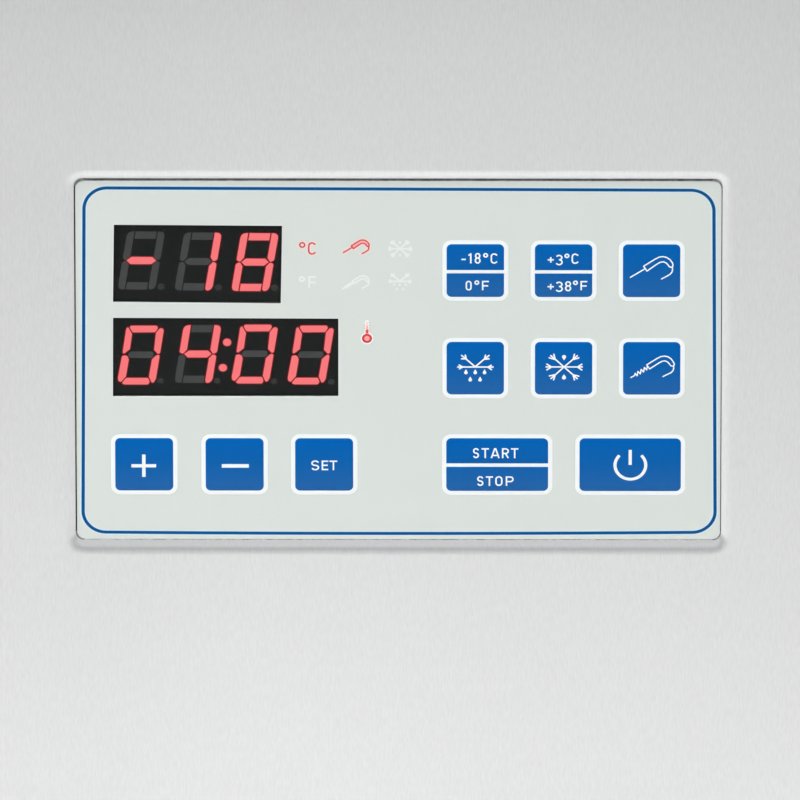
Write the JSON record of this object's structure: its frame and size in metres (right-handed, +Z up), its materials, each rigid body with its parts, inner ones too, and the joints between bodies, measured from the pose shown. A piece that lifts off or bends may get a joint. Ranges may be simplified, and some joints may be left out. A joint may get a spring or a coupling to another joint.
{
  "type": "blast chiller",
  "caption": "Free-standing blast chiller cabinet with a hinged insulated door, tray runners, refrigeration below and a front panel with keys and red digit displays.",
  "frame": {"origin": "on the floor, under the centre of the overall box", "axes": "+Z up, the front faces -Y, +X to the right of someone facing the door"},
  "size_m": [0.75, 0.752, 0.88],
  "materials": {
    "stainless": "satin",
    "stainless_chamber": "satin",
    "galvanised": "satin",
    "insulation": "matte",
    "black_trim": "satin",
    "seal_rubber": "matte",
    "bracket_steel": "satin",
    "handle_grip": "satin",
    "nylon": "satin",
    "wire_chrome": "polished",
    "motor_enamel": "satin",
    "fan_plastic": "satin",
    "fin_aluminium": "satin",
    "copper_tube": "satin",
    "grey_enclosure": "matte",
    "label_film": "satin",
    "key_blue": "satin",
    "led_face": "gloss",
    "circuit_board": "satin"
  },
  "bodies": {
    "root": {"base_pan": "galvanised", "outer_wrap": "stainless", "top_panel": "stainless", "rear_panel": "galvanised", "rear_grille": "galvanised", "cabinet_foam": "insulation", "chamber_liner": "stainless_chamber", "door_frame_trim": "black_trim", "front_fascia": "stainless", "hinge_brackets": "bracket_steel", "fasteners": "bracket_steel", "tray_racks": "stainless_chamber", "fan_panel": "stainless_chamber", "evap_fan_guard": "wire_chrome", "evap_fan_motor": "motor_enamel", "evaporator_fins": "fin_aluminium", "evaporator_tubes": "copper_tube", "evap_drip_pan": "stainless_chamber", "drain_pipe": "nylon", "probe_socket": "black_trim", "probe_holder": "stainless_chamber", "compressor": "motor_enamel", "compressor_mounts": "seal_rubber", "condenser_fins": "fin_aluminium", "condenser_tubes": "copper_tube", "condenser_shroud": "galvanised", "condenser_fan_motor": "motor_enamel", "refrigerant_lines": "copper_tube", "electrical_box": "grey_enclosure", "mains_gland": "black_trim", "control_overlay": "label_film", "display_temp": "led_face", "display_time": "led_face", "display_board": "circuit_board", "display_housing": "black_trim"},
    "door": {"door_outer_skin": "stainless", "door_inner_liner": "stainless", "door_foam": "insulation", "door_gasket": "seal_rubber", "door_handle": "handle_grip", "door_hinge_bushes": "nylon"},
    "evap_fan": {"evap_fan_rotor": "fan_plastic"},
    "condenser_fan": {"condenser_fan_rotor": "fan_plastic"},
    "shelf_lower": {"shelf_lower": "wire_chrome"},
    "shelf_upper": {"shelf_upper": "wire_chrome"},
    "key_freeze_preset": {"key_freeze_preset": "key_blue"},
    "key_chill_preset": {"key_chill_preset": "key_blue"},
    "key_probe": {"key_probe": "key_blue"},
    "key_defrost": {"key_defrost": "key_blue"},
    "key_snowflake": {"key_snowflake": "key_blue"},
    "key_heated_probe": {"key_heated_probe": "key_blue"},
    "key_plus": {"key_plus": "key_blue"},
    "key_minus": {"key_minus": "key_blue"},
    "key_set": {"key_set": "key_blue"},
    "key_start_stop": {"key_start_stop": "key_blue"},
    "key_power": {"key_power": "key_blue"},
    "foot_front_left": {"foot_front_left": "bracket_steel"},
    "foot_front_right": {"foot_front_right": "bracket_steel"},
    "foot_rear_left": {"foot_rear_left": "bracket_steel"},
    "foot_rear_right": {"foot_rear_right": "bracket_steel"}
  },
  "joints": [
    {"name": "door_hinge", "type": "hinge", "parent": "root", "child": "door", "pos_m": [0.361, -0.307, 0.351], "axis": [0, 0, 1], "range_deg": [0, 110]},
    {"name": "key_freeze_preset_press", "type": "slide", "parent": "root", "child": "key_freeze_preset", "axis": [0, 1, 0], "range_m": [0, 0.0004], "stiffness_N_per_m": 3000, "springref_m": -0.0003},
    {"name": "key_chill_preset_press", "type": "slide", "parent": "root", "child": "key_chill_preset", "axis": [0, 1, 0], "range_m": [0, 0.0004], "stiffness_N_per_m": 3000, "springref_m": -0.0003},
    {"name": "key_probe_press", "type": "slide", "parent": "root", "child": "key_probe", "axis": [0, 1, 0], "range_m": [0, 0.0004], "stiffness_N_per_m": 3000, "springref_m": -0.0003},
    {"name": "key_defrost_press", "type": "slide", "parent": "root", "child": "key_defrost", "axis": [0, 1, 0], "range_m": [0, 0.0004], "stiffness_N_per_m": 3000, "springref_m": -0.0003},
    {"name": "key_snowflake_press", "type": "slide", "parent": "root", "child": "key_snowflake", "axis": [0, 1, 0], "range_m": [0, 0.0004], "stiffness_N_per_m": 3000, "springref_m": -0.0003},
    {"name": "key_heated_probe_press", "type": "slide", "parent": "root", "child": "key_heated_probe", "axis": [0, 1, 0], "range_m": [0, 0.0004], "stiffness_N_per_m": 3000, "springref_m": -0.0003},
    {"name": "key_plus_press", "type": "slide", "parent": "root", "child": "key_plus", "axis": [0, 1, 0], "range_m": [0, 0.0004], "stiffness_N_per_m": 3000, "springref_m": -0.0003},
    {"name": "key_minus_press", "type": "slide", "parent": "root", "child": "key_minus", "axis": [0, 1, 0], "range_m": [0, 0.0004], "stiffness_N_per_m": 3000, "springref_m": -0.0003},
    {"name": "key_set_press", "type": "slide", "parent": "root", "child": "key_set", "axis": [0, 1, 0], "range_m": [0, 0.0004], "stiffness_N_per_m": 3000, "springref_m": -0.0003},
    {"name": "key_start_stop_press", "type": "slide", "parent": "root", "child": "key_start_stop", "axis": [0, 1, 0], "range_m": [0, 0.0004], "stiffness_N_per_m": 3000, "springref_m": -0.0003},
    {"name": "key_power_press", "type": "slide", "parent": "root", "child": "key_power", "axis": [0, 1, 0], "range_m": [0, 0.0004], "stiffness_N_per_m": 3000, "springref_m": -0.0003},
    {"name": "evap_fan_spin", "type": "hinge", "parent": "root", "child": "evap_fan", "pos_m": [0, 0.154, 0.6], "axis": [0, 1, 0], "continuous": true},
    {"name": "condenser_fan_spin", "type": "hinge", "parent": "root", "child": "condenser_fan", "pos_m": [-0.195, -0.18, 0.192], "axis": [0, 1, 0], "continuous": true},
    {"name": "shelf_lower_slide", "type": "slide", "parent": "root", "child": "shelf_lower", "axis": [0, -1, 0], "range_m": [0, 0.045]},
    {"name": "shelf_upper_slide", "type": "slide", "parent": "root", "child": "shelf_upper", "axis": [0, -1, 0], "range_m": [0, 0.045]},
    {"name": "foot_front_left_height", "type": "slide", "parent": "root", "child": "foot_front_left", "axis": [0, 0, 1], "range_m": [-0.02, 0]},
    {"name": "foot_front_right_height", "type": "slide", "parent": "root", "child": "foot_front_right", "axis": [0, 0, 1], "range_m": [-0.02, 0]},
    {"name": "foot_rear_left_height", "type": "slide", "parent": "root", "child": "foot_rear_left", "axis": [0, 0, 1], "range_m": [-0.02, 0]},
    {"name": "foot_rear_right_height", "type": "slide", "parent": "root", "child": "foot_rear_right", "axis": [0, 0, 1], "range_m": [-0.02, 0]}
  ]
}
